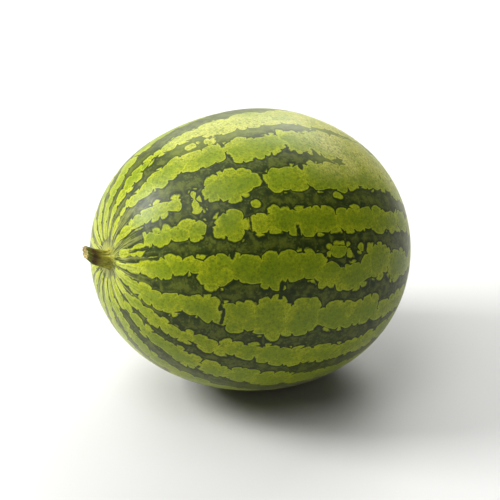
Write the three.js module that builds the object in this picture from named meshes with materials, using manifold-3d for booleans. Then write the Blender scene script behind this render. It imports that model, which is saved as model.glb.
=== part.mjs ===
// A small round watermelon lying on its side, with the cut stub of its stem still on it.
// Millimetres, +Z up. The stem end points along -X and is lifted a little, as the fruit lies in use.
// The origin is the middle of the small flat spot that the fruit rests on.
import * as THREE from "three";
import { mergeVertices } from "three/addons/utils/BufferGeometryUtils.js";
import Module from "manifold-3d";

const wasm = await Module();
wasm.setup();

const DEGREE = Math.PI / 180;

// The fruit, on its own axis
const LENGTH = 187;
const DIAMETER = 163;
const FULLNESS = 0.87; // power of the sine in the outline: under 1 is fuller than an ellipse
const BLOSSOM_SWELL = 0.039; // how much wider the blossom half is than the stem half
const SWELL = 0.6; // height of the soft swells that its upper side grew
const SWELL_WAVES = 5.6; // swells in a full turn of the outline
const SWELL_START = 35 * DEGREE; // where on the outline the first one is, from the stem end
const FRUIT_RINGS = 38;
const FRUIT_SIDES = 72;

// The hollows at its two ends
const STEM_HOLLOW = { depth: 2.6, width: 13 };
const BLOSSOM_HOLLOW = { depth: 1.6, width: 9 };

// How it lies
const STEM_END_LIFT = 10 * DEGREE;
const FLAT_DEPTH = 1.8; // how deep the resting spot cuts into the round underside

// The stem stub
const SEAT_RADIUS = 7; // the flat disc of rind that the stem grows from
const SEAT_GAP = 0.3;
const STEM_LENGTH = 14.8;
const STEM_BEND = 4.6; // how far its tip has risen off the fruit's axis
const STEM_RIDGES = 5;
const STEM_RIDGE_HEIGHT = 0.1; // as a share of the stem's radius
const STEM_SIDES = 30;
// Radius of the stub at shares of its length: a flared collar, a slow taper and a cut end with a soft rim
const STEM_OUTLINE = [
  [0, 6],
  [0.05, 5.9],
  [0.15, 5],
  [0.3, 4.2],
  [0.5, 3.9],
  [0.75, 3.6],
  [0.93, 3.5],
  [1, 3.1],
];

const RIND = new THREE.MeshStandardMaterial({
  name: "rind",
  color: new THREE.Color().setRGB(0.42, 0.5, 0.1, THREE.SRGBColorSpace),
  roughness: 0.42,
  metalness: 0,
});
const STALK = new THREE.MeshStandardMaterial({
  name: "stalk",
  color: new THREE.Color().setRGB(0.45, 0.38, 0.14, THREE.SRGBColorSpace),
  roughness: 0.85,
  metalness: 0,
});

// The widest value of the outline's own formula, which DIAMETER is set against.
const OUTLINE_PEAK = Math.max(
  ...Array.from({ length: 721 }, (_, i) => roundness((i / 720) * Math.PI)),
);

// Radius of the outline, before it is sized: turn runs from 0 at the stem end to pi at the blossom end.
function roundness(turn) {
  return Math.sin(turn) ** FULLNESS * (1 - BLOSSOM_SWELL * Math.cos(turn));
}

function hollowAt(radius, { depth, width }) {
  return depth * Math.exp(-((radius / width) ** 2));
}

// A point of the outline, as Vector2(radius, height), with the blossom end up.
function outlinePoint(turn) {
  const radius = (DIAMETER / 2) * (roundness(turn) / OUTLINE_PEAK);
  const stemEnd = turn < Math.PI / 2;
  const hollow = hollowAt(radius, stemEnd ? STEM_HOLLOW : BLOSSOM_HOLLOW);
  const height = (-LENGTH / 2) * Math.cos(turn) + (stemEnd ? hollow : -hollow);
  return new THREE.Vector2(radius, height);
}

// The outline from pole to pole. It starts with the flat disc that carries the stem.
function fruitOutline() {
  const points = [];
  for (let ring = 1; ring < FRUIT_RINGS; ring++) {
    const point = outlinePoint((ring / FRUIT_RINGS) * Math.PI);
    if (point.x > SEAT_RADIUS + 1) points.push(point);
  }
  const seat = new THREE.Vector2(SEAT_RADIUS, seatHeight());
  const stemPole = new THREE.Vector2(0, seat.y);
  const blossomPole = new THREE.Vector2(0, LENGTH / 2 - BLOSSOM_HOLLOW.depth);
  return [stemPole, seat, ...points, blossomPole];
}

// Height of the outline where it reaches the seat's radius, found by halving.
function seatHeight() {
  let low = 0;
  let high = Math.PI / 4;
  for (let step = 0; step < 40; step++) {
    const middle = (low + high) / 2;
    if (outlinePoint(middle).x < SEAT_RADIUS) low = middle;
    else high = middle;
  }
  return outlinePoint(high).y;
}

// Moves each vertex off the round outline, into the soft swells of the upper side.
function growUneven(geometry) {
  const places = geometry.getAttribute("position");
  const place = new THREE.Vector3();
  for (let i = 0; i < places.count; i++) {
    place.fromBufferAttribute(places, i);
    const radius = Math.hypot(place.x, place.z);
    if (radius <= SEAT_RADIUS + 0.01) continue;
    const around = Math.atan2(place.x, place.z);
    const turn = Math.acos(THREE.MathUtils.clamp((-2 * place.y) / LENGTH, -1, 1));
    const upper = Math.max(0, Math.cos(around)) ** 2;
    const wave = Math.cos(SWELL_WAVES * (turn - SWELL_START));
    const grown = 1 + (SWELL * wave * upper * Math.sin(turn) ** 2) / radius;
    places.setXYZ(i, place.x * grown, place.y, place.z * grown);
  }
}

// Turns the lathe's upright axis into the fruit's lying one.
function layDown(geometry) {
  geometry.rotateZ(-Math.PI / 2);
  geometry.rotateY(STEM_END_LIFT);
}

function solidOf(geometry) {
  const bare = geometry.clone();
  bare.deleteAttribute("normal");
  bare.deleteAttribute("uv");
  const merged = mergeVertices(bare, 1e-4);
  const vertProperties = new Float32Array(merged.getAttribute("position").array);
  const triVerts = new Uint32Array(merged.index.array);
  return new wasm.Manifold(new wasm.Mesh({ numProp: 3, vertProperties, triVerts }));
}

function geometryOf(solid) {
  const { vertProperties, triVerts, numProp, numVert } = solid.getMesh();
  const places = new Float32Array(numVert * 3);
  for (let i = 0; i < numVert; i++) {
    places.set(vertProperties.subarray(i * numProp, i * numProp + 3), i * 3);
  }
  const geometry = new THREE.BufferGeometry();
  geometry.setAttribute("position", new THREE.BufferAttribute(places, 3));
  geometry.setIndex(new THREE.BufferAttribute(triVerts, 1));
  geometry.computeVertexNormals();
  return geometry;
}

// Cuts the resting spot. Returns the cut fruit, still round its own centre, and the middle of the spot.
function restOnFlat(geometry) {
  geometry.computeBoundingBox();
  const floor = geometry.boundingBox.min.z + FLAT_DEPTH;
  const ground = new THREE.BoxGeometry(2 * LENGTH, 2 * LENGTH, LENGTH);
  ground.translate(0, 0, floor - LENGTH / 2);
  const cut = geometryOf(solidOf(geometry).subtract(solidOf(ground)));
  const places = cut.getAttribute("position");
  const spot = new THREE.Box3();
  const place = new THREE.Vector3();
  for (let i = 0; i < places.count; i++) {
    place.fromBufferAttribute(places, i);
    if (place.z < floor + 0.001) spot.expandByPoint(place);
  }
  const middle = spot.getCenter(new THREE.Vector3());
  return { cut, spot: new THREE.Vector3(middle.x, middle.y, floor) };
}

function makeFruit() {
  const round = new THREE.LatheGeometry(fruitOutline(), FRUIT_SIDES);
  growUneven(round);
  layDown(round);
  return restOnFlat(round);
}

// The stub is turned on a lathe, ridged along its length, then bent upwards away from the axis.
function makeStem() {
  const outline = STEM_OUTLINE.map(
    ([share, radius]) => new THREE.Vector2(radius, -share * STEM_LENGTH),
  ).reverse();
  const tip = new THREE.Vector2(0, -STEM_LENGTH);
  const root = new THREE.Vector2(0, 0);
  const stub = new THREE.LatheGeometry([tip, ...outline, root], STEM_SIDES);
  const places = stub.getAttribute("position");
  for (let i = 0; i < places.count; i++) {
    const x = places.getX(i);
    const y = places.getY(i);
    const z = places.getZ(i);
    const ridge = 1 + STEM_RIDGE_HEIGHT * Math.cos(STEM_RIDGES * Math.atan2(x, z));
    const share = -y / STEM_LENGTH;
    places.setXYZ(i, x * ridge, y, z * ridge + STEM_BEND * share ** 2);
  }
  stub.translate(0, seatHeight() - SEAT_GAP, 0);
  layDown(stub);
  return geometryOf(solidOf(stub));
}

const watermelon = new THREE.Group();
const { cut, spot } = makeFruit();

const fruit = new THREE.Mesh(cut, RIND);
fruit.name = "fruit";
watermelon.add(fruit);

const stem = new THREE.Mesh(makeStem(), STALK);
stem.name = "stem_stub";
watermelon.add(stem);

for (const piece of [fruit, stem]) piece.position.set(-spot.x, -spot.y, -spot.z);

export default watermelon;
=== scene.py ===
# A small round watermelon with its cut stem stub, lying on a plain pale floor.
# Metres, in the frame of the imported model: +Z up, the stem end towards -X, the origin under the fruit.
import math

import bmesh
import bpy
import numpy as np
from mathutils import Matrix, Vector

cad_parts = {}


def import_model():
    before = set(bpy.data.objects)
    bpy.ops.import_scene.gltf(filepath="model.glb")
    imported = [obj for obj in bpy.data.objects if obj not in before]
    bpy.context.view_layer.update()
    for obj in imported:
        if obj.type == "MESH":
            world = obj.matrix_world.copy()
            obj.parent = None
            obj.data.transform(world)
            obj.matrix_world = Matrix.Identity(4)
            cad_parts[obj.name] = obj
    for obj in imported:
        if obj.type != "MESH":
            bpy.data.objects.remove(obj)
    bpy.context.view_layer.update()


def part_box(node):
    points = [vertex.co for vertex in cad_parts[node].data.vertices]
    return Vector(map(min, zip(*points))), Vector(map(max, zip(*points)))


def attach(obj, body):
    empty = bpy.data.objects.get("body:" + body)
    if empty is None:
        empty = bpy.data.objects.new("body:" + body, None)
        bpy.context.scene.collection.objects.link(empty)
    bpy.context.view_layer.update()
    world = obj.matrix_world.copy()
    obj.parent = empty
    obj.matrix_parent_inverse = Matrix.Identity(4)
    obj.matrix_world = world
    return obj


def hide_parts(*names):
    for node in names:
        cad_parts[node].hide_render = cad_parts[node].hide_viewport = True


MM = 0.001
DEGREE = math.pi / 180

# The fruit's outline, as the model holds it
LENGTH = 187 * MM
DIAMETER = 163 * MM
FULLNESS = 0.87
BLOSSOM_SWELL = 0.039
SWELL = 0.6 * MM
SWELL_WAVES = 5.6
SWELL_START = 35 * DEGREE
STEM_HOLLOW_DEPTH = 2.6 * MM
STEM_HOLLOW_WIDTH = 13 * MM
BLOSSOM_HOLLOW_DEPTH = 1.6 * MM
BLOSSOM_HOLLOW_WIDTH = 9 * MM
SEAT_RADIUS = 7 * MM
STEM_END_LIFT = 10 * DEGREE

# What the model leaves to this script: the fine skin
FRUIT_SIDES = 320
FRUIT_RINGS = 300
RINGS_TO_POLES = 0.5  # how much closer together the rings lie at the two ends
FLAT_RIM = 0.5 * MM  # softness of the rim of the resting spot
RIB_HEIGHT = 0.45 * MM  # the light bands stand up as low ribs round the stem
RIB_REACH = 20 * MM
RIB_SLOPE = 1.2  # how deep in a band its rib has risen, in millimetres
SCAR_RADIUS = 4 * MM
SCAR_RIM = 0.5 * MM
SCAR_RIM_WIDTH = 1.1 * MM
CORK_REACH = 9 * MM
STREAK_REACH = 26 * MM  # how far the pale streaks run out from the stem
STREAK_STRETCH = 0.25  # how little they change along the fruit
BELLY_CORE = 15 * MM  # the pale patch where it lay on the ground
BELLY_REACH = 46 * MM

# The stem stub
STEM_LENGTH = 14.8 * MM
STEM_BEND = 4.6 * MM
STEM_RADIUS = 4.6 * MM
STEM_TAPER = 0.9 * MM  # how much thinner it is at its cut end
STEM_FLARE = 1.6 * MM
STEM_FLARE_REACH = 0.12  # as a share of its length
STEM_ROOT = -0.04  # it starts a little inside the fruit, so that no gap shows
STEM_SIDE_END = 0.985  # where its side turns into its cut end
STEM_SLANT = 0.16  # slope of its cut end
STEM_SIDES = 96
STEM_RINGS = 70
# Its hollow cut end, from rim to middle, as shares of its length and of its radius there
CUT_END = [(1.0, 0.93), (1.002, 0.82), (0.985, 0.7), (0.965, 0.55), (0.955, 0.38), (0.95, 0.2), (0.95, 0)]
# What stands up along it: how many there are round it, and how high they are, as a share of its radius
STEM_RIDGES = 5
RIDGE_HEIGHT = 0.1
STEM_STRANDS = 17
STRAND_HEIGHT = 0.022
STEM_FIBRES = 29
FIBRE_HEIGHT = 0.016
FIBRE_TWIST = 0.35
KNOT_HEIGHT = 0.03
KNOT_WAVES = 14  # how quickly the knots follow each other along it
RAGGED_HEIGHT = 0.25 * MM  # the torn rim of the cut end
RAGGED_TEETH = 11
FIBRE_STRETCH = 0.6  # how little the fibres change along it
CUT_RIM_COLOUR = 0.6  # how much of the cut end's colour its rim has
# Where these come in, as shares of its length, and across it where the wood ends, as shares of its radius
RELIEF_ALONG = (0, 0.15)
CUT_RIM_ALONG = (0.93, 1)
WOOD_ALONG = (0.94, 0.96)
WOOD_ACROSS = (0.75, 0.98)
RAGGED_ALONG = (0.97, 1)
DRY_ALONG = (0.5, 0.95)
GREEN_TIP_ALONG = (0.7, 0.95)

# The camera stands where the photograph was taken from, with a longer lens on the one fruit
VIEW_TURN = -28 * DEGREE
VIEW_RISE = 26.7 * DEGREE
VIEW_DISTANCE = 1.288
VIEW_LENS = 160
SENSOR_WIDTH = 36

# The soft lights: where each stands from the fruit, how far off, its size in metres and its power in watts
SOFTBOXES = {
    "key_left_behind": ((-0.72, 0.4, 0.55), 1.3, 0.5, 23),
    "top_front": ((-0.45, -0.3, 1.0), 1.5, 0.8, 7),
    "rim_behind": ((0.4, 0.95, 0.6), 1.5, 1.1, 11),
    "rim_right": ((0.8, 0.65, 0.8), 1.5, 0.8, 11),
}
SKY_DIRECTION = (-0.3, 0.3, 1.0)
SKY_STRENGTH = 1.25
SKY_SPREAD = 50 * DEGREE
ROOM_GLOW = 0.12
FLOOR_REACH = 12

# Places of the colour sockets on a Mix node
MIX_SHARE = 0
MIX_FIRST = 6
MIX_SECOND = 7
MIX_RESULT = 2

# Colours, as red, green and blue from 0 to 255
LIGHT_BAND = (154, 162, 6)
LIGHT_CLOUD = (124, 140, 2)
LIGHT_CORE = (104, 126, 0)
LIGHT_RIM = (174, 184, 24)
# Painted sheen: the light band's colour where light washes the top of the fruit pale
LIGHT_BAND_PAINTED_SHEEN = (194, 188, 92)
VEIN = (92, 118, 10)
FRECKLE = (82, 98, 0)
GRAIN = (84, 106, 4)
DARK_BAND = (30, 43, 2)
DARK_CLOUD = (84, 93, 18)
DARK_SPECK = (88, 102, 36)
# Painted sheen: the dark band's colour where light washes the top of the fruit pale
DARK_BAND_PAINTED_SHEEN = (118, 130, 26)
STREAK = (192, 196, 104)
COLLAR = (150, 152, 60)
BELLY = (206, 194, 112)
CORK_DARK = (96, 80, 34)
CORK_PALE = (150, 132, 70)
WAX_SHEEN = (244, 244, 196)
STALK_ROOT_DARK = (112, 112, 18)
STALK_ROOT_PALE = (176, 172, 60)
STALK_BROWN_DARK = (40, 22, 4)
STALK_BROWN_PALE = (96, 66, 10)
STALK_TIP_DARK = (78, 94, 4)
STALK_TIP_PALE = (136, 152, 24)
STALK_PIT = (48, 32, 12)
WOOD_DARK = (112, 90, 40)
WOOD_PALE = (178, 160, 96)
FLOOR = (196, 196, 194)

# Depths in a light band, in millimetres, from where a mark is absent to where it is full
EDGE_DEPTHS = (-0.45, 0.45)
RIM_DEPTHS = (2.2, 0.3)
CORE_DEPTHS = (2.6, 6.5)
MARK_DEPTHS = (0.5, 1.9)
DARK_MIDDLE_DEPTHS = (-0.6, -3.0)
# How near the stem the collar comes in, and how near the blossom end the scar, where 1 is right at it
COLLAR_NEARNESS = (0.86, 0.97)
SCAR_NEARNESS = (0.74, 0.86)
NOTCH_REACH = 0.13  # half the width of a notch between two lobes, as a share of their size

# The light bands run from the stem end to the blossom end, and each is a row of lobes.
# A lobe is: where it starts and ends along the fruit, in degrees from the stem end, then its upper and
# lower edge round the fruit, in degrees from the top towards the viewer, and last how round its corners
# are. Its edges get their scallops and notches from the material.
SQUARISH = 0.8
ROUND = 1.0
SEEN_BANDS = {
    "top": [
        (7, 25, -14, -7, SQUARISH),
        (23, 36, -15, -2.5, SQUARISH),
        (34, 47, -11.5, -4.5, SQUARISH),
        (45, 58, -11, -3.5, SQUARISH),
        (56, 66, -10, -2.5, SQUARISH),
        (64, 76, -11, 3.5, SQUARISH),
        (74, 90, -10, 5.5, SQUARISH),
        (88, 107, -9, 7.5, SQUARISH),
        (105, 130, -9, 8.5, SQUARISH),
    ],
    "second": [
        (7, 25, 3.5, 10, SQUARISH),
        (23, 36, 6, 15.5, SQUARISH),
        (34, 51, 5, 18.5, SQUARISH),
        (49, 66, 9, 21.8, SQUARISH),
        (64.5, 79.5, 11, 24.5, SQUARISH),
        (77.5, 87.5, 12.5, 23.5, SQUARISH),
        (85.5, 97, 12, 25, SQUARISH),
        (95, 108, 12.5, 28, SQUARISH),
        (106, 130, 12, 32, SQUARISH),
    ],
    "third": [
        (6, 23, 25, 37, SQUARISH),
        (21, 36, 26, 38, SQUARISH),
        (34, 44, 28.5, 39.5, SQUARISH),
        (45.3, 50, 29, 40.5, ROUND),
        (51.2, 72.8, 29.5, 39.5, ROUND),
        (54.5, 69.5, 26, 42, ROUND),
        (73.2, 88.5, 30, 43, SQUARISH),
        (87.5, 106, 31, 44, SQUARISH),
        (103, 118, 32, 41.5, SQUARISH),
        (116, 131, 33, 41, SQUARISH),
    ],
    "fourth": [
        (23, 32, 44.5, 58, SQUARISH),
        (30, 43, 46, 57, SQUARISH),
        (41, 50, 47, 57.5, SQUARISH),
        (51.4, 64.4, 46.2, 60.4, ROUND),
        (65, 73.5, 49.5, 59, SQUARISH),
        (71.5, 82.5, 48, 59.5, SQUARISH),
        (80.5, 98, 49.5, 60.5, SQUARISH),
        (96, 115, 50, 60.5, SQUARISH),
        (113, 131, 50, 61, SQUARISH),
    ],
    "fifth": [
        (6, 22, 73, 82, SQUARISH),
        (19, 35, 66, 82, SQUARISH),
        (33, 47, 65.5, 77, SQUARISH),
        (45, 58, 66, 84, SQUARISH),
        (55, 68, 67, 80, SQUARISH),
        (65, 76.5, 66, 82, SQUARISH),
        (73, 90, 66, 78.5, SQUARISH),
        (87, 97, 71, 82, SQUARISH),
        (94, 109, 72.5, 83.5, SQUARISH),
        (107, 122, 65.5, 80, SQUARISH),
        (120, 139, 69.5, 84, SQUARISH),
    ],
    "sixth": [
        (6, 25, 90, 104, SQUARISH),
        (23, 40, 91, 106, SQUARISH),
        (37, 54.5, 87, 101, SQUARISH),
        (53.5, 67, 88, 98, SQUARISH),
        (57.5, 68.5, 95, 103, SQUARISH),
        (66, 79.5, 84.5, 104, SQUARISH),
        (77.5, 91.5, 85, 102, SQUARISH),
        (90, 104, 87.5, 100, SQUARISH),
        (102, 119, 88, 100, SQUARISH),
        (117, 137, 91, 102, SQUARISH),
    ],
    "seventh": [
        (8, 31, 110, 119, SQUARISH),
        (29, 49, 109.5, 120, SQUARISH),
        (47, 59, 110, 119, SQUARISH),
        (57, 72.5, 108, 118, SQUARISH),
        (71, 89, 108, 119, SQUARISH),
        (87, 105, 107.5, 118, SQUARISH),
        (103, 124, 107.5, 118, SQUARISH),
    ],
}
# Small light islands in the dark bands, and dark cuts and notches in the light ones, given as the lobes are
LIGHT_ISLANDS = [
    (55.5, 58.5, 2, 4.5, ROUND),
    (62, 64, 6, 8.5, ROUND),
    (45, 50.5, 42, 44.2, ROUND),
    (66, 69.5, 44.5, 47.5, ROUND),
    (96.5, 100.5, 43, 46.5, ROUND),
    (9, 23, 50.5, 65, ROUND),
    (91.5, 102, 63.2, 70.2, ROUND),
    (104.2, 108, 64.5, 69.5, ROUND),
    (75, 77, 79.5, 81.5, ROUND),
    (77.5, 79.5, 82, 83.8, ROUND),
]
DARK_CUTS = [
    (15, 26, 56.5, 60, ROUND),
    (9, 30, 66, 68.5, ROUND),
    (22.4, 23.8, 42, 54, ROUND),
    (50, 51.2, 27, 44, ROUND),
    (72.3, 73.6, 24, 46, ROUND),
    (50.2, 51.8, 44, 62, ROUND),
    (64.5, 65.6, 44, 62, ROUND),
    (64.9, 66.3, 5, 13.5, ROUND),
    (64.9, 66.3, 18, 25, ROUND),
    (86, 87.2, 20, 27, ROUND),
    (87.2, 88.8, 27, 34, ROUND),
    (70.4, 71.8, 45, 51, ROUND),
    (80.8, 82.2, 55.5, 62, ROUND),
    (56.8, 58.6, 62, 69, ROUND),
    (74.3, 76, 78, 86, ROUND),
    (52.8, 54.2, 82, 88, ROUND),
    (54, 55.4, 86, 94, ROUND),
    (55.4, 56.8, 92, 101, ROUND),
    (66, 67.4, 83, 89, ROUND),
    (78.3, 79.6, 81, 88, ROUND),
]

# Towards the far top the dark bands grow thin, and both bands are painted pale there as a painted sheen of
# the light on the top; from each first angle on and fully at the second
TOP_SHEEN_ALONG = (86, 104)
TOP_SHEEN_ROUND = (44, 30)
TOP_BAND_GROWTH = 1.7  # how much wider the light bands grow there, in millimetres
CROWN_ALONG = (42, 56)
CROWN_ROUND = (15, 6)
CROWN_SHEEN_STRENGTH = 0.7
TOP_SHEEN_END = (165, 130)

# The bands that the photograph doesn't show follow a rule, and so do the seen ones past where they are
# listed. Lengths are degrees along the fruit, and widths are degrees round it.
GROWTH_SEED = 4127
BAND_STEP = 20
FIRST_HIDDEN_BAND = 131
HIDDEN_BANDS = 11
BAND_START = 6
BAND_END = 175
LOBE_LENGTHS = (10, 17)
LOBE_HALF_WIDTHS = (5.2, 6.9)
LOBE_WANDER = 0.9
LOBE_OVERLAP = 1.6
ISLAND_CHANCE = 0.16
ISLAND_ZONE = (35, 140)
ISLAND_SETBACKS = (2, 8)
ISLAND_LENGTHS = (2, 5)
ISLAND_HALF_WIDTH = 1.3
ISLAND_WANDER = 1
CUT_CHANCE = 0.2
CUT_ZONE = (30, 150)
CUT_LENGTH = 1.0
CUT_WIDTHS = (4, 14)
CUT_OVERHANG = 1
JOIN_SOFTNESS = 3.5  # how far lobes that overlap flow into each other, in millimetres
GAP_SOFTNESS = 0.01  # and lobes with a gap between them


def roundness(turn):
    """Radius of the outline before it is sized. turn is 0 at the stem end and pi at the blossom end."""
    return np.clip(np.sin(turn), 0, None) ** FULLNESS * (1 - BLOSSOM_SWELL * np.cos(turn))


OUTLINE_PEAK = roundness(np.linspace(0, math.pi, 721)).max()


def outline(turn):
    """How far along the axis the skin is, and how far off it, before the stem's seat is made flat."""
    radius = DIAMETER / 2 * roundness(turn) / OUTLINE_PEAK
    stem_hollow = STEM_HOLLOW_DEPTH * np.exp(-((radius / STEM_HOLLOW_WIDTH) ** 2))
    blossom_hollow = BLOSSOM_HOLLOW_DEPTH * np.exp(-((radius / BLOSSOM_HOLLOW_WIDTH) ** 2))
    along = -LENGTH / 2 * np.cos(turn) + np.where(turn < math.pi / 2, stem_hollow, -blossom_hollow)
    return along, radius


def seat_place():
    """How far along the axis the flat seat of the stem lies."""
    turns = np.linspace(0, math.pi / 4, 2000)
    along, radius = outline(turns)
    return float(np.interp(SEAT_RADIUS, radius, along))


def smooth_step(low, high, value):
    share = np.clip((value - low) / (high - low), 0, 1)
    return share * share * (3 - 2 * share)


def bell(distance, reach):
    """1 at no distance, falling off smoothly: about a third is left at reach."""
    return np.exp(-((distance / reach) ** 2))


def own_axes(along, radius, around):
    """Points in the fruit's own frame: +X to the blossom end, +Z to its top, around turning towards -Y."""
    return np.stack([along, -radius * np.sin(around), radius * np.cos(around)], axis=-1)


def lay_down(places):
    """Tilts points of the fruit's own frame into its lying one, still on the fruit's centre."""
    turned = np.array(Matrix.Rotation(STEM_END_LIFT, 3, "Y"))
    return places @ turned.T


def soft_floor(height):
    """Presses what would lie under the floor flat onto it, with a soft rim."""
    near = np.maximum(FLAT_RIM - np.abs(height), 0) / FLAT_RIM
    return np.maximum(height, 0) + near * near * FLAT_RIM / 4


def degrees_apart(first, second):
    return np.abs((first - second + 180) % 360 - 180)


def depth_in_lobe(turn, around, along_scale, round_scale, lobe):
    """How far inside a lobe each point is, in millimetres. It is negative outside."""
    start, end, upper, lower, corner = lobe
    off_along = np.abs(turn - (start + end) / 2) * along_scale
    off_round = degrees_apart(around, (upper + lower) / 2) * round_scale
    half_along = (end - start) / 2 * along_scale
    half_round = (lower - upper) / 2 * round_scale
    corner_radius = corner * np.minimum(half_along, half_round)
    past_along = off_along - (half_along - corner_radius)
    past_round = off_round - (half_round - corner_radius)
    outside = np.hypot(np.maximum(past_along, 0), np.maximum(past_round, 0))
    inside = np.minimum(np.maximum(past_along, past_round), 0)
    return corner_radius - outside - inside


def grow_band(chance, centre, start):
    """A band that isn't seen, from start to the blossom end. Returns its lobes, islands and cuts."""
    lobes = []
    islands = []
    cuts = []
    while start < BAND_END - LOBE_OVERLAP:
        end = start + chance.uniform(*LOBE_LENGTHS)
        middle = centre + chance.uniform(-LOBE_WANDER, LOBE_WANDER)
        upper = middle - chance.uniform(*LOBE_HALF_WIDTHS)
        lower = middle + chance.uniform(*LOBE_HALF_WIDTHS)
        lobes.append((start, end, upper, lower, SQUARISH))
        if ISLAND_ZONE[0] < start < ISLAND_ZONE[1] and chance.random() < ISLAND_CHANCE:
            island = start + chance.uniform(*ISLAND_SETBACKS)
            length = chance.uniform(*ISLAND_LENGTHS)
            place = centre + BAND_STEP / 2 + chance.uniform(-ISLAND_WANDER, ISLAND_WANDER)
            edges = (place - ISLAND_HALF_WIDTH, place + ISLAND_HALF_WIDTH)
            islands.append((island, island + length, *edges, ROUND))
        if CUT_ZONE[0] < end < CUT_ZONE[1] and chance.random() < CUT_CHANCE:
            width = chance.uniform(*CUT_WIDTHS)
            from_above = chance.random() < 0.5
            cut_top = upper - CUT_OVERHANG if from_above else lower + CUT_OVERHANG - width
            cuts.append((end - CUT_LENGTH, end, cut_top, cut_top + width, SQUARISH))
        start = end - LOBE_OVERLAP
    return lobes, islands, cuts


def soft_max(first, second, softness):
    near = np.maximum(softness - np.abs(first - second), 0) / softness
    return np.maximum(first, second) + near * near * softness / 4


def band_depth(place, lobes):
    """Depth in a row of lobes. Those that overlap flow into each other, and a gap stays a gap."""
    depth = depth_in_lobe(*place, lobes[0])
    for before, lobe in zip(lobes, lobes[1:]):
        softness = JOIN_SOFTNESS if lobe[0] < before[1] else GAP_SOFTNESS
        depth = soft_max(depth, depth_in_lobe(*place, lobe), softness)
    return depth


def deepest(place, marks):
    return np.max([depth_in_lobe(*place, mark) for mark in marks], axis=0)


def rind_pattern(turn, around):
    """How deep each point of the skin is in a light band, and how deep in a dark cut, in millimetres."""
    step = 1e-4
    thinnest = 0.1 * MM
    ahead = np.stack(outline(turn + step))
    behind = np.stack(outline(turn - step))
    along_scale = np.hypot(*(ahead - behind)) / (2 * step) * DEGREE / MM
    round_scale = np.maximum(outline(turn)[1], thinnest) * DEGREE / MM
    place = (turn / DEGREE, around / DEGREE, along_scale, round_scale)

    rows = []
    for seen in SEEN_BANDS.values():
        _, end, upper, lower, _ = seen[-1]
        rows.append((seen, (upper + lower) / 2, end - LOBE_OVERLAP))
    for count in range(HIDDEN_BANDS):
        rows.append(([], FIRST_HIDDEN_BAND + BAND_STEP * count, BAND_START))

    chance = np.random.default_rng(GROWTH_SEED)
    bands = []
    islands = list(LIGHT_ISLANDS)
    cuts = list(DARK_CUTS)
    for seen, centre, start in rows:
        grown, more_islands, more_cuts = grow_band(chance, centre, start)
        bands.append(seen + grown)
        islands += more_islands
        cuts += more_cuts

    depth = np.max([band_depth(place, band) for band in bands], axis=0)
    return np.maximum(depth, deepest(place, islands)), deepest(place, cuts)


def painted_top_sheen_mask(turn, around):
    """1 on the top of the fruit, where its bands are painted pale as a painted sheen of light, and 0
    elsewhere.
    """
    along = turn / DEGREE
    side = degrees_apart(around / DEGREE, 0)
    far = smooth_step(*TOP_SHEEN_ALONG, along) * smooth_step(*TOP_SHEEN_ROUND, side)
    crown = smooth_step(*CROWN_ALONG, along) * smooth_step(*CROWN_ROUND, side) * CROWN_SHEEN_STRENGTH
    return np.maximum(far, crown) * smooth_step(*TOP_SHEEN_END, along)


def finish_mesh(bm, name):
    """The bmesh as a smooth-shaded object at the origin."""
    bmesh.ops.recalc_face_normals(bm, faces=bm.faces)
    mesh = bpy.data.meshes.new(name)
    bm.to_mesh(mesh)
    bm.free()
    mesh.shade_smooth()
    piece = bpy.data.objects.new(name, mesh)
    bpy.context.collection.objects.link(piece)
    return piece


def face_outwards(mesh):
    bm = bmesh.new()
    bm.from_mesh(mesh)
    bmesh.ops.recalc_face_normals(bm, faces=bm.faces)
    bm.to_mesh(mesh)
    bm.free()


def vertex_places(mesh):
    places = np.empty(len(mesh.vertices) * 3)
    mesh.vertices.foreach_get("co", places)
    return places.reshape(-1, 3)


def move_vertices(mesh, places):
    mesh.vertices.foreach_set("co", places.ravel())
    mesh.update()


def store(mesh, name, values):
    """Keeps one number, or one vector, at each vertex for the materials to read."""
    kind, field = ("FLOAT", "value") if values.ndim == 1 else ("FLOAT_VECTOR", "vector")
    mesh.attributes.new(name, kind, "POINT").data.foreach_set(field, values.astype(np.float32).ravel())


def store_tube_place(mesh, name, around, along):
    """Keeps each vertex's place on a tube, for patterns that run along a piece with no seam."""
    store(mesh, name, np.stack([np.cos(around), np.sin(around), along], axis=-1))


def fruit_skin(turn, around):
    """The skin as the model holds it: how far along the fruit's axis, and how far off it."""
    along, radius = outline(turn)
    on_seat = (turn < math.pi / 2) & (radius < SEAT_RADIUS)
    along = np.where(on_seat, seat_place(), along)
    upper = np.maximum(np.cos(around), 0) ** 2
    wave = np.cos(SWELL_WAVES * (turn - SWELL_START))
    radius = radius + SWELL * wave * upper * np.sin(turn) ** 2
    return along, radius


def fruit_centre(bare):
    """Where the centre of the fruit lies in the model. bare is its skin round that centre."""
    low, high = (np.array(corner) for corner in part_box("fruit"))
    centre = (low + high) / 2 - (bare.min(axis=0) + bare.max(axis=0)) / 2
    centre[2] = high[2] - bare[:, 2].max()
    return centre


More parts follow.
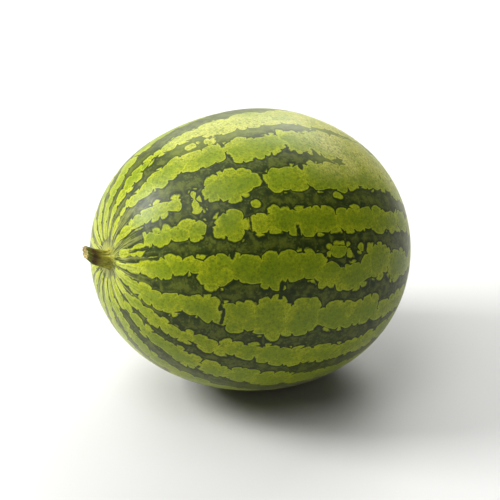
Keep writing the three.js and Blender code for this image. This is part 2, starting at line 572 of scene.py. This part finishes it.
def make_fruit():
    """The whole fruit: a fine skin on the model's own outline. Returns it with the place of its centre."""
    bm = bmesh.new()
    bmesh.ops.create_uvsphere(bm, u_segments=FRUIT_SIDES, v_segments=FRUIT_RINGS, radius=1)
    fruit = finish_mesh(bm, "fruit_skin")
    mesh = fruit.data
    ball = vertex_places(mesh)
    turn = np.arccos(np.clip(-ball[:, 2], -1, 1))
    turn = turn - RINGS_TO_POLES * np.sin(2 * turn) / 2
    around = np.arctan2(ball[:, 1], ball[:, 0])

    along, radius = fruit_skin(turn, around)
    centre = fruit_centre(lay_down(own_axes(along, radius, around)))
    depth, cut = rind_pattern(turn, around)
    # Painted sheen of light on the top of the fruit; the dark bands also grow thin there
    painted_top_sheen = painted_top_sheen_mask(turn, around)
    depth = depth + TOP_BAND_GROWTH * painted_top_sheen

    by_stem = turn < math.pi / 2
    past_seat = smooth_step(SEAT_RADIUS, 1.5 * SEAT_RADIUS, radius)
    rib = RIB_HEIGHT * np.tanh(depth / RIB_SLOPE) * bell(radius, RIB_REACH) * past_seat
    scar_rim = SCAR_RIM * bell(radius - SCAR_RADIUS, SCAR_RIM_WIDTH)
    relief = np.where(by_stem, -rib, scar_rim)
    places = lay_down(own_axes(along + relief, radius, around)) + centre
    places[:, 2] = soft_floor(places[:, 2])
    move_vertices(mesh, places)

    store(mesh, "light_depth", depth)
    store(mesh, "cut_depth", cut)
    store(mesh, "painted_top_sheen", painted_top_sheen)
    store(mesh, "girth", np.clip(radius / (DIAMETER / 2), 0, 1))
    store(mesh, "stem_side", np.where(by_stem, bell(radius, STREAK_REACH), 0))
    store(mesh, "blossom_side", np.where(by_stem, 0, bell(radius, CORK_REACH)))
    store(mesh, "belly", 1 - smooth_step(BELLY_CORE, BELLY_REACH, np.linalg.norm(places, axis=1)))
    store_tube_place(mesh, "streak_place", around, turn * STREAK_STRETCH)
    return fruit, centre


def stem_radius(share):
    """Radius of the stub at a share of its length, from its root."""
    return STEM_RADIUS - STEM_TAPER * share * share + STEM_FLARE * math.exp(-share / STEM_FLARE_REACH)


def stem_profile():
    """Half the stub's outline as (share of its length, radius), from root to the middle of its cut end."""
    shares = np.linspace(STEM_ROOT, STEM_SIDE_END, STEM_RINGS)
    side = [(share, stem_radius(max(share, 0))) for share in shares]
    cut = [(share, part * stem_radius(1)) for share, part in CUT_END]
    return [(STEM_ROOT, 0)] + side + cut


def stem_relief(share, around):
    """How far the stub's ridges, strands, fibres and knots stand up, as a share of its radius."""
    twist = around + FIBRE_TWIST * share
    ridges = RIDGE_HEIGHT * np.cos(STEM_RIDGES * around)
    strands = STRAND_HEIGHT * np.cos(STEM_STRANDS * twist + 2 * np.sin(9 * share))
    fibres = FIBRE_HEIGHT * np.cos(STEM_FIBRES * twist - 3 * share)
    knots = KNOT_HEIGHT * np.sin(KNOT_WAVES * share + 2 * np.cos(around)) * np.cos(2 * around + 1)
    return ridges + (strands + fibres + knots) * smooth_step(*RELIEF_ALONG, share)


def make_stem(centre):
    """The stub, spun round its axis, then ridged, slanted at its cut end and bent upwards."""
    bm = bmesh.new()
    points = [bm.verts.new((radius, 0, share)) for share, radius in stem_profile()]
    edges = [bm.edges.new(pair) for pair in zip(points, points[1:])]
    bmesh.ops.spin(
        bm,
        geom=points + edges,
        cent=(0, 0, 0),
        axis=(0, 0, 1),
        angle=2 * math.pi,
        steps=STEM_SIDES,
        use_merge=True,
    )
    bmesh.ops.remove_doubles(bm, verts=bm.verts, dist=1e-6)
    stem = finish_mesh(bm, "stem_stub_skin")
    mesh = stem.data
    spun = vertex_places(mesh)
    share = spun[:, 2]
    radius = np.hypot(spun[:, 0], spun[:, 1])
    around = np.arctan2(spun[:, 1], spun[:, 0])

    radius = radius * (1 + stem_relief(share, around))
    slant = STEM_SLANT * radius * np.cos(around) * np.clip(share, 0, 1) ** 4
    ragged = RAGGED_HEIGHT * np.sin(RAGGED_TEETH * around + 1) * smooth_step(*RAGGED_ALONG, share)
    along = seat_place() - share * STEM_LENGTH - slant - ragged
    places = own_axes(along, radius, around)
    places[:, 2] += STEM_BEND * np.clip(share, 0, None) ** 2
    move_vertices(mesh, lay_down(places) + centre)
    face_outwards(mesh)

    inner = 1 - smooth_step(*WOOD_ACROSS, radius / STEM_RADIUS)
    rim = smooth_step(*CUT_RIM_ALONG, share) * CUT_RIM_COLOUR
    store(mesh, "share", share)
    store(mesh, "cut_end", smooth_step(*WOOD_ALONG, share) * np.maximum(inner, rim))
    store_tube_place(mesh, "fibre_place", around, share * FIBRE_STRETCH)
    return stem


def srgb(red, green, blue):
    """A colour given as 0 to 255 per channel, as the shaders want it."""
    channels = [value / 255 for value in (red, green, blue)]
    linear = [c / 12.92 if c <= 0.04045 else ((c + 0.055) / 1.055) ** 2.4 for c in channels]
    return (*linear, 1.0)


def put(tree, socket, value):
    """Links an input to value where that is a socket, and sets it to value where it isn't."""
    if isinstance(value, bpy.types.NodeSocket):
        tree.links.new(value, socket)
    else:
        socket.default_value = value


def node(tree, kind, inputs=None, **settings):
    """Adds a shader node."""
    made = tree.nodes.new("ShaderNode" + kind)
    for name, value in settings.items():
        setattr(made, name, value)
    for socket, value in (inputs or {}).items():
        put(tree, made.inputs[socket], value)
    return made


def calc(tree, operation, *values):
    made = node(tree, "Math", dict(enumerate(values)), operation=operation)
    return made.outputs[0]


def times(tree, first, *others):
    """The product of two or more values."""
    for other in others:
        first = calc(tree, "MULTIPLY", first, other)
    return first


def between(tree, value, low, high, to_low=0.0, to_high=1.0):
    """value moved smoothly from low..high to to_low..to_high, and held there past them."""
    inputs = {"Value": value, "From Min": low, "From Max": high, "To Min": to_low, "To Max": to_high}
    return node(tree, "MapRange", inputs, interpolation_type="SMOOTHSTEP").outputs[0]


def blend(tree, share, first, second):
    """Goes from one colour to another. A colour is a socket, or red, green and blue from 0 to 255."""
    made = node(tree, "Mix", data_type="RGBA")
    put(tree, made.inputs[MIX_SHARE], share)
    for index, colour in ((MIX_FIRST, first), (MIX_SECOND, second)):
        put(tree, made.inputs[index], srgb(*colour) if isinstance(colour, tuple) else colour)
    return made.outputs[MIX_RESULT]


def tint(tree, colour, mask, strength, target):
    """Moves a colour towards target where the mask is, at this strength."""
    return blend(tree, times(tree, mask, strength), colour, target)


def kept(tree, name, output="Fac"):
    """A number or vector that make_fruit or make_stem kept at the vertices."""
    return node(tree, "Attribute", attribute_name=name).outputs[output]


def object_place(tree):
    return node(tree, "TexCoord").outputs["Object"]


def per_metre(tree, millimetres):
    """The scale that gives a texture cells of this size."""
    return calc(tree, "DIVIDE", 1 / MM, millimetres)


def noise(tree, size, detail):
    """Noise round 0.5, with features of this size in millimetres."""
    inputs = {"Vector": object_place(tree), "Scale": 1 / (size * MM), "Detail": detail}
    return node(tree, "TexNoise", inputs).outputs["Fac"]


def waver(tree, size, detail, middle, height):
    """Uneven waves: their size and height, and the value of the noise at which they are 0."""
    return times(tree, calc(tree, "SUBTRACT", noise(tree, size, detail), middle), height)


def new_group(name, inputs, outputs):
    """A node group with named sockets. Returns the tree, its input node and its output node."""
    tree = bpy.data.node_groups.new(name, "ShaderNodeTree")
    for label, default in inputs.items():
        socket = tree.interface.new_socket(label, in_out="INPUT", socket_type="NodeSocketFloat")
        socket.default_value = default
    for label in outputs:
        tree.interface.new_socket(label, in_out="OUTPUT", socket_type="NodeSocketFloat")
    return tree, tree.nodes.new("NodeGroupInput"), tree.nodes.new("NodeGroupOutput")


def bent_place(tree, scale, finer, detail, reach):
    """The place on the object, pushed about by noise, so that cells of this scale get crooked sides."""
    place = object_place(tree)
    bend = node(tree, "TexNoise", {"Vector": place, "Scale": times(tree, scale, finer), "Detail": detail})
    shift = node(tree, "VectorMath", {0: bend.outputs["Color"], 1: (0.5, 0.5, 0.5)}, operation="SUBTRACT")
    length = calc(tree, "DIVIDE", reach, scale)
    pushed = node(tree, "VectorMath", {0: shift.outputs[0], "Scale": length}, operation="SCALE")
    return node(tree, "VectorMath", {0: place, 1: pushed.outputs[0]}, operation="ADD").outputs[0]


def scallop_group():
    """Pushes the edge of a band out into round lobes, with sharp dark notches between them."""
    sizes = {"Depth": 0, "Lobe Size": 5, "Lobe Height": 1, "Notch": 1, "Girth": 1}
    tree, given, made = new_group("scalloped_edge", sizes, ["Depth"])
    girth = given.outputs["Girth"]
    cells = {"Vector": object_place(tree), "Scale": per_metre(tree, given.outputs["Lobe Size"])}
    middles = node(tree, "TexVoronoi", cells).outputs["Distance"]
    walls = node(tree, "TexVoronoi", cells, feature="DISTANCE_TO_EDGE").outputs["Distance"]
    bulge = calc(tree, "SUBTRACT", 0.5, middles)
    height = times(tree, given.outputs["Lobe Height"], girth, 2)
    depth = calc(tree, "MULTIPLY_ADD", bulge, height, given.outputs["Depth"])
    notch = times(tree, between(tree, walls, NOTCH_REACH, 0), given.outputs["Notch"], girth)
    tree.links.new(calc(tree, "SUBTRACT", depth, notch), made.inputs["Depth"])
    return tree


def mottle_group():
    """Soft cloudy patches, as a mask from 0 to 1."""
    tree, given, made = new_group("mottle", {"Patch Size": 10, "Low": 0.4, "High": 0.6}, ["Mask"])
    inputs = {"Vector": object_place(tree), "Scale": per_metre(tree, given.outputs["Patch Size"])}
    clouds = node(tree, "TexNoise", {**inputs, "Detail": 4, "Roughness": 0.6})
    mask = between(tree, clouds.outputs["Fac"], given.outputs["Low"], given.outputs["High"])
    tree.links.new(mask, made.inputs["Mask"])
    return tree


def speckle_group():
    """Small irregular specks. Share is how many of their places hold one, from 0 to 1."""
    tree, given, made = new_group("speckle", {"Spacing": 2, "Speck Size": 0.3, "Share": 0.5}, ["Mask"])
    size = given.outputs["Speck Size"]
    scale = per_metre(tree, given.outputs["Spacing"])
    place = bent_place(tree, scale, finer=1.3, detail=2, reach=0.9)
    cells = node(tree, "TexVoronoi", {"Vector": place, "Scale": scale})
    chosen = node(tree, "SeparateColor", {0: cells.outputs["Color"]}).outputs[0]
    picked = calc(tree, "LESS_THAN", chosen, given.outputs["Share"])
    spot = between(tree, cells.outputs["Distance"], times(tree, size, 1.5), size)
    tree.links.new(times(tree, spot, picked), made.inputs["Mask"])
    return tree


def net_group():
    """A net of fine veins, as a mask that is 1 on the veins."""
    tree, given, made = new_group("vein_net", {"Mesh Size": 3, "Vein Width": 0.1}, ["Mask"])
    scale = per_metre(tree, given.outputs["Mesh Size"])
    place = bent_place(tree, scale, finer=1, detail=3, reach=1.1)
    cells = node(tree, "TexVoronoi", {"Vector": place, "Scale": scale}, feature="DISTANCE_TO_EDGE")
    mask = between(tree, cells.outputs["Distance"], given.outputs["Vein Width"], 0.0)
    tree.links.new(mask, made.inputs["Mask"])
    return tree


def use_group(tree, group, **inputs):
    """Places a node group. Words in an input's name are joined by _ here."""
    made = tree.nodes.new("ShaderNodeGroup")
    made.node_tree = group
    for name, value in inputs.items():
        put(tree, made.inputs[name.replace("_", " ")], value)
    return made.outputs[0]


def new_material(name):
    material = bpy.data.materials.new(name)
    material.use_nodes = True
    tree = material.node_tree
    return material, tree, tree.nodes["Principled BSDF"]


def band_edges(tree, scallop):
    """The depth in a light band, in millimetres, once the band's edges are scalloped, cut and frayed."""
    girth = between(tree, kept(tree, "girth"), 0.05, 0.6, 0.2, 1.0)
    sway = waver(tree, size=15, detail=0, middle=0.37, height=3.4)
    depth = calc(tree, "MULTIPLY_ADD", sway, girth, kept(tree, "light_depth"))
    lobes = {"Lobe_Size": 8, "Lobe_Height": 1.5, "Notch": 1.6, "Girth": girth}
    depth = use_group(tree, scallop, Depth=depth, **lobes)
    small_lobes = {"Lobe_Size": 4.5, "Lobe_Height": 0.8, "Notch": 0.1, "Girth": girth}
    depth = use_group(tree, scallop, Depth=depth, **small_lobes)
    cut_lobes = {"Lobe_Size": 3, "Lobe_Height": 0.6, "Notch": 0, "Girth": girth}
    cut = use_group(tree, scallop, Depth=kept(tree, "cut_depth"), **cut_lobes)
    depth = calc(tree, "MINIMUM", depth, times(tree, cut, -1))
    fray = waver(tree, size=1.3, detail=1, middle=0.5, height=0.5)
    return calc(tree, "MULTIPLY_ADD", fray, girth, depth)


def light_colour(tree, depth, mottle, speckle, net):
    """A light band: clouded yellow-green, bright at its rim and deeper in its core, veined and freckled."""
    clouds = use_group(tree, mottle, Patch_Size=20, Low=0.38, High=0.62)
    colour = blend(tree, clouds, LIGHT_BAND, LIGHT_CLOUD)
    colour = tint(tree, colour, between(tree, depth, *CORE_DEPTHS), 0.5, LIGHT_CORE)
    colour = tint(tree, colour, between(tree, depth, *RIM_DEPTHS), 0.5, LIGHT_RIM)

    # Painted sheen: towards the far top the light band is painted pale, as light washes it
    sheen_clouds = use_group(tree, mottle, Patch_Size=11, Low=0.36, High=0.6)
    painted_sheen_strength = calc(tree, "MULTIPLY_ADD", sheen_clouds, 0.5, 0.35)
    colour = tint(tree, colour, kept(tree, "painted_top_sheen"), painted_sheen_strength, LIGHT_BAND_PAINTED_SHEEN)

    marked = between(tree, depth, *MARK_DEPTHS)
    veins = use_group(tree, net, Mesh_Size=3.4, Vein_Width=0.16)
    colour = tint(tree, colour, times(tree, veins, marked), 0.35, VEIN)
    patches = use_group(tree, mottle, Patch_Size=8, Low=0.36, High=0.58)
    freckles = use_group(tree, speckle, Spacing=1.9, Speck_Size=0.34, Share=0.8)
    freckles = times(tree, freckles, calc(tree, "MULTIPLY_ADD", patches, 0.6, 0.4), marked)
    colour = tint(tree, colour, freckles, 0.55, FRECKLE)
    grain = between(tree, noise(tree, size=0.9, detail=2), 0.42, 0.62)
    return tint(tree, colour, grain, 0.42, GRAIN)


def dark_colour(tree, depth, mottle, speckle):
    """A dark band: deep green at its edges, with paler clouds and specks along its middle."""
    middle = between(tree, depth, *DARK_MIDDLE_DEPTHS)
    clouds = use_group(tree, mottle, Patch_Size=4.5, Low=0.4, High=0.64)
    cloudiness = calc(tree, "MULTIPLY_ADD", clouds, 0.75, 0.2)
    colour = tint(tree, DARK_BAND, middle, cloudiness, DARK_CLOUD)
    specks = use_group(tree, speckle, Spacing=1.5, Speck_Size=0.34, Share=0.6)
    colour = tint(tree, colour, times(tree, specks, middle), 0.5, DARK_SPECK)
    # Painted sheen: towards the far top the dark band is painted pale, as light washes it
    return tint(tree, colour, kept(tree, "painted_top_sheen"), 0.55, DARK_BAND_PAINTED_SHEEN)


def rind_material(scallop, mottle, speckle, net):
    """The rind: its bands, the pale streaks and collar by the stem, the pale belly and the corky scar."""
    material, tree, surface = new_material("rind")
    depth = band_edges(tree, scallop)
    is_light = between(tree, depth, *EDGE_DEPTHS)
    light = light_colour(tree, depth, mottle, speckle, net)
    dark = dark_colour(tree, depth, mottle, speckle)
    colour = blend(tree, is_light, dark, light)

    stem_side = kept(tree, "stem_side")
    along_it = {"Vector": kept(tree, "streak_place", "Vector"), "Scale": 26, "Detail": 3}
    lines = node(tree, "TexNoise", along_it).outputs["Fac"]
    streaks = times(tree, between(tree, lines, 0.42, 0.62), stem_side)
    colour = tint(tree, colour, streaks, 0.8, STREAK)
    colour = tint(tree, colour, between(tree, stem_side, *COLLAR_NEARNESS), 0.7, COLLAR)

    belly_clouds = use_group(tree, mottle, Patch_Size=14, Low=0.3, High=0.7)
    belly = times(tree, kept(tree, "belly"), calc(tree, "MULTIPLY_ADD", belly_clouds, 0.25, 0.75))
    colour = tint(tree, colour, belly, 0.86, BELLY)

    scar = between(tree, kept(tree, "blossom_side"), *SCAR_NEARNESS)
    cork = blend(tree, use_group(tree, mottle, Patch_Size=1.2, Low=0.4, High=0.6), CORK_DARK, CORK_PALE)
    colour = blend(tree, scar, colour, cork)
    tree.links.new(colour, surface.inputs["Base Color"])

    wax = use_group(tree, mottle, Patch_Size=30, Low=0.3, High=0.7)
    roughness = calc(tree, "MULTIPLY_ADD", wax, 0.08, 0.38)
    roughness = calc(tree, "MULTIPLY_ADD", scar, 0.4, roughness)
    tree.links.new(roughness, surface.inputs["Roughness"])
    surface.inputs["IOR"].default_value = 1.45
    surface.inputs["Specular IOR Level"].default_value = 0.28
    surface.inputs["Sheen Weight"].default_value = 0.35
    surface.inputs["Sheen Tint"].default_value = srgb(*WAX_SHEEN)
    surface.inputs["Sheen Roughness"].default_value = 0.3

    dents = times(tree, noise(tree, size=7, detail=3), 0.6)
    height = calc(tree, "MULTIPLY_ADD", noise(tree, size=0.7, detail=2), 0.06, dents)
    height = calc(tree, "MULTIPLY_ADD", is_light, 0.05, height)
    height = calc(tree, "MULTIPLY_ADD", streaks, 0.35, height)
    bump = node(tree, "Bump", {"Strength": 0.35, "Distance": 1 * MM, "Height": height})
    tree.links.new(bump.outputs["Normal"], surface.inputs["Normal"])
    return material


def stalk_material(mottle, speckle):
    """Drying stalk: pale olive at the root, brown further out, a green rim, and a dull fibrous cut end."""
    material, tree, surface = new_material("stalk")
    share = kept(tree, "share")
    along_it = {"Vector": kept(tree, "fibre_place", "Vector"), "Scale": 9, "Detail": 4, "Roughness": 0.65}
    fibres = node(tree, "TexNoise", along_it).outputs["Fac"]
    strands = between(tree, fibres, 0.38, 0.62)
    dryness = between(tree, calc(tree, "MULTIPLY_ADD", fibres, 0.5, share), *DRY_ALONG)
    root = blend(tree, strands, STALK_ROOT_DARK, STALK_ROOT_PALE)
    brown = blend(tree, strands, STALK_BROWN_DARK, STALK_BROWN_PALE)
    tip = blend(tree, strands, STALK_TIP_DARK, STALK_TIP_PALE)
    colour = blend(tree, dryness, root, brown)
    colour = tint(tree, colour, between(tree, share, *GREEN_TIP_ALONG), 0.8, tip)
    pits = use_group(tree, speckle, Spacing=1.1, Speck_Size=0.25, Share=0.35)
    colour = tint(tree, colour, pits, 0.5, STALK_PIT)
    wood = blend(tree, use_group(tree, mottle, Patch_Size=1.1, Low=0.4, High=0.6), WOOD_DARK, WOOD_PALE)
    colour = blend(tree, kept(tree, "cut_end"), colour, wood)
    tree.links.new(colour, surface.inputs["Base Color"])
    roughness = calc(tree, "MULTIPLY_ADD", strands, 0.15, 0.62)
    tree.links.new(roughness, surface.inputs["Roughness"])
    bump = node(tree, "Bump", {"Strength": 0.7, "Distance": 0.35 * MM, "Height": fibres})
    tree.links.new(bump.outputs["Normal"], surface.inputs["Normal"])
    return material


def floor_material():
    material, _, surface = new_material("pale_floor")
    surface.inputs["Base Color"].default_value = srgb(*FLOOR)
    surface.inputs["Roughness"].default_value = 0.75
    return material


def make_floor(material):
    bm = bmesh.new()
    bmesh.ops.create_grid(bm, x_segments=1, y_segments=1, size=FLOOR_REACH)
    floor = finish_mesh(bm, "floor")
    floor.data.materials.append(material)
    return floor


def aim(thing, place, target):
    thing.location = place
    thing.rotation_euler = (Vector(target) - Vector(place)).to_track_quat("-Z", "Y").to_euler()


def add_lamp(light, direction, distance, target):
    """Puts a light at a distance from target, shining on it."""
    lamp = bpy.data.objects.new(light.name, light)
    bpy.context.collection.objects.link(lamp)
    aim(lamp, Vector(target) + Vector(direction).normalized() * distance, target)


def make_light(target):
    world = bpy.data.worlds.new("studio")
    world.use_nodes = True
    background = world.node_tree.nodes["Background"]
    background.inputs["Color"].default_value = (1, 1, 1, 1)
    background.inputs["Strength"].default_value = ROOM_GLOW
    bpy.context.scene.world = world
    for name, (direction, distance, size, power) in SOFTBOXES.items():
        light = bpy.data.lights.new(name, "AREA")
        light.shape = "SQUARE"
        light.size = size
        light.energy = power
        add_lamp(light, direction, distance, target)
    sky = bpy.data.lights.new("even_light_from_above", "SUN")
    sky.energy = SKY_STRENGTH
    sky.angle = SKY_SPREAD
    add_lamp(sky, SKY_DIRECTION, 1, target)
    bpy.context.scene.view_settings.view_transform = "Standard"


def make_camera(target):
    camera = bpy.data.objects.new("camera", bpy.data.cameras.new("camera"))
    camera.data.lens = VIEW_LENS
    camera.data.sensor_width = SENSOR_WIDTH
    bpy.context.collection.objects.link(camera)
    level = math.cos(VIEW_RISE)
    back = Vector((math.sin(VIEW_TURN) * level, -math.cos(VIEW_TURN) * level, math.sin(VIEW_RISE)))
    aim(camera, Vector(target) + back * VIEW_DISTANCE, target)
    bpy.context.scene.camera = camera


def main():
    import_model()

    fruit, centre = make_fruit()
    stem = make_stem(centre)
    make_camera(centre)

    scallop = scallop_group()
    mottle = mottle_group()
    speckle = speckle_group()
    net = net_group()
    fruit.data.materials.append(rind_material(scallop, mottle, speckle, net))
    stem.data.materials.append(stalk_material(mottle, speckle))
    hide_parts("fruit")
    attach(fruit, "root")
    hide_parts("stem_stub")
    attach(stem, "root")

    make_floor(floor_material())
    make_light(centre)


main()
